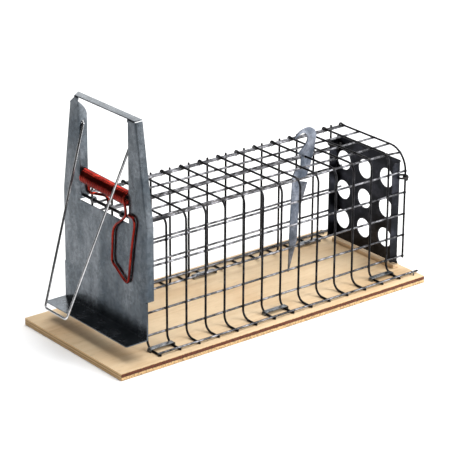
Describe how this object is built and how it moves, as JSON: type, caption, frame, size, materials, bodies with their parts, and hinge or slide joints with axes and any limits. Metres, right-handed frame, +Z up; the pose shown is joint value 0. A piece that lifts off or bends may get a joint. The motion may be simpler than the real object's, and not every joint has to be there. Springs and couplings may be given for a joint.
{
  "type": "live catch trap",
  "caption": "Welded-mesh live catch trap on a plywood board, with a sprung see-saw sheet door, a wire bail, a hanging bait trigger and a perforated end plate.",
  "frame": {"origin": "middle of the board's underside", "axes": "+Z up, the door faces -Y, the cage runs towards +Y"},
  "size_m": [0.132, 0.3281, 0.1942],
  "materials": {
    "plywood": "bare three-ply plywood, fine grain, dark end-grain bands on the edges",
    "mesh_wire": "galvanized welded mesh, weathered near-black with silver-grey highlights",
    "galvanized_sheet": "mottled blue-grey galvanized sheet, satin",
    "dark_sheet": "dark blue-black sheet, satin",
    "coppered_wire": "copper-red spring wire, glossy",
    "bright_wire": "bright galvanized wire"
  },
  "bodies": {
    "cage": {"base_board": "plywood", "end_sill": "plywood", "mesh_near_side": "mesh_wire", "mesh_near_foot": "mesh_wire", "mesh_far_side": "mesh_wire", "mesh_far_foot": "mesh_wire", "mesh_top": "mesh_wire", "end_tie_near": "mesh_wire", "end_tie_far": "mesh_wire", "door_axle": "mesh_wire", "end_plate": "dark_sheet", "spring_leg": "coppered_wire", "wire_staple_near": "bright_wire", "wire_staple_far": "bright_wire", "band_clip_near_1": "bright_wire", "band_clip_near_2": "bright_wire", "band_clip_near_3": "bright_wire", "band_clip_far_1": "bright_wire", "band_clip_far_2": "bright_wire", "band_clip_far_3": "bright_wire"},
    "door": {"door_plate": "galvanized_sheet", "spring_coil": "coppered_wire", "spring_pin": "mesh_wire", "spring_loop": "coppered_wire"},
    "bail": {"bail": "bright_wire"},
    "trigger": {"trigger": "galvanized_sheet"}
  },
  "joints": [
    {"name": "door_hinge", "type": "hinge", "parent": "cage", "child": "door", "pos_m": [0, -0.1196, 0.113], "axis": [-1, 0, 0], "range_deg": [0, 70], "stiffness_Nm_per_rad": 0.15, "springref_deg": -57.3, "deforming": ["spring_leg"]},
    {"name": "bail_hinge", "type": "hinge", "parent": "door", "child": "bail", "pos_m": [0, -0.1194, 0.1733], "axis": [-1, 0, 0], "range_deg": [0, 140]},
    {"name": "trigger_hinge", "type": "hinge", "parent": "cage", "child": "trigger", "pos_m": [0, 0.07685, 0.111], "axis": [-1, 0, 0], "range_deg": [-35, 35]}
  ]
}
